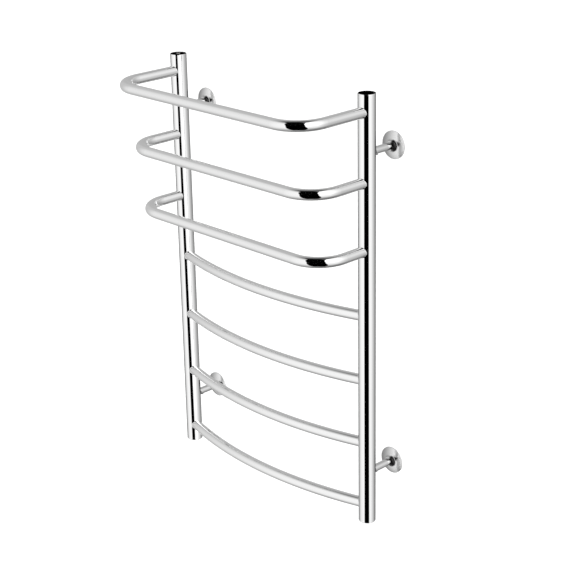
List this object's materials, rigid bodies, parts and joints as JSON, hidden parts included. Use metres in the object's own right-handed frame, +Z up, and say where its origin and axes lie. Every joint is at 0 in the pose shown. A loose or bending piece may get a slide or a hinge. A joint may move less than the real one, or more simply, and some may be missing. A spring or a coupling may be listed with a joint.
{
  "type": "towel warmer rack",
  "caption": "Wall-hung ladder towel warmer with protruding upper rails, bowed lower rungs, telescopic wall holders and sliding round cover plates.",
  "frame": {"origin": "on the wall plane, at the centre of the four wall fixings", "axes": "+X to the right of someone facing the rack, +Y into the wall, +Z up"},
  "size_m": [0.552, 0.245, 0.83],
  "materials": {
    "polished_steel": "mirror-polished stainless steel",
    "machined_steel": "fine-turned stainless steel",
    "rubber_seal": "matt black moulded rubber",
    "brass_bleed": "turned brass, satin",
    "black_steel": "black-oxide set screw steel"
  },
  "bodies": {
    "wall_holders": {"holder_upper_left": "polished_steel", "holder_upper_right": "polished_steel", "holder_lower_left": "polished_steel", "holder_lower_right": "polished_steel"},
    "rack": {"left_upright": "polished_steel", "right_upright": "polished_steel", "top_rail": "polished_steel", "middle_rail": "polished_steel", "third_rail": "polished_steel", "bowed_rung_1": "polished_steel", "bowed_rung_2": "polished_steel", "bowed_rung_3": "polished_steel", "bowed_rung_4": "polished_steel", "blank_plug": "polished_steel", "bleed_plug": "polished_steel", "connection_bushing_left": "machined_steel", "connection_bushing_right": "machined_steel", "plug_bushing_left": "machined_steel", "plug_bushing_right": "machined_steel", "plug_seal_left": "rubber_seal", "plug_seal_right": "rubber_seal", "stub_upper_left": "machined_steel", "stub_upper_right": "machined_steel", "stub_lower_left": "machined_steel", "stub_lower_right": "machined_steel"},
    "bleed_valve": {"bleed_screw": "brass_bleed"},
    "escutcheon_upper_left": {"escutcheon_upper_left": "polished_steel", "grip_ring_upper_left": "rubber_seal"},
    "escutcheon_upper_right": {"escutcheon_upper_right": "polished_steel", "grip_ring_upper_right": "rubber_seal"},
    "escutcheon_lower_left": {"escutcheon_lower_left": "polished_steel", "grip_ring_lower_left": "rubber_seal"},
    "escutcheon_lower_right": {"escutcheon_lower_right": "polished_steel", "grip_ring_lower_right": "rubber_seal"},
    "grub_upper_left": {"grub_screw_upper_left": "black_steel"},
    "grub_upper_right": {"grub_screw_upper_right": "black_steel"},
    "grub_lower_left": {"grub_screw_lower_left": "black_steel"},
    "grub_lower_right": {"grub_screw_lower_right": "black_steel"}
  },
  "joints": [
    {"name": "depth_adjust", "type": "slide", "parent": "wall_holders", "child": "rack", "axis": [0, -1, 0], "range_m": [0, 0.01]},
    {"name": "bleed_turn", "type": "hinge", "parent": "rack", "child": "bleed_valve", "pos_m": [-0.25, -0.07, 0.418], "axis": [0, 0, 1], "range_deg": [0, 270]},
    {"name": "escutcheon_slide_upper_left", "type": "slide", "parent": "wall_holders", "child": "escutcheon_upper_left", "axis": [0, -1, 0], "range_m": [0, 0.03]},
    {"name": "escutcheon_slide_upper_right", "type": "slide", "parent": "wall_holders", "child": "escutcheon_upper_right", "axis": [0, -1, 0], "range_m": [0, 0.03]},
    {"name": "escutcheon_slide_lower_left", "type": "slide", "parent": "wall_holders", "child": "escutcheon_lower_left", "axis": [0, -1, 0], "range_m": [0, 0.03]},
    {"name": "escutcheon_slide_lower_right", "type": "slide", "parent": "wall_holders", "child": "escutcheon_lower_right", "axis": [0, -1, 0], "range_m": [0, 0.03]},
    {"name": "grub_turn_upper_left", "type": "hinge", "parent": "wall_holders", "child": "grub_upper_left", "pos_m": [-0.25, -0.045, 0.311], "axis": [0, 0, -1], "range_deg": [0, 540]},
    {"name": "grub_turn_upper_right", "type": "hinge", "parent": "wall_holders", "child": "grub_upper_right", "pos_m": [0.25, -0.045, 0.311], "axis": [0, 0, -1], "range_deg": [0, 540]},
    {"name": "grub_turn_lower_left", "type": "hinge", "parent": "wall_holders", "child": "grub_lower_left", "pos_m": [-0.25, -0.045, -0.311], "axis": [0, 0, -1], "range_deg": [0, 540]},
    {"name": "grub_turn_lower_right", "type": "hinge", "parent": "wall_holders", "child": "grub_lower_right", "pos_m": [0.25, -0.045, -0.311], "axis": [0, 0, -1], "range_deg": [0, 540]}
  ]
}
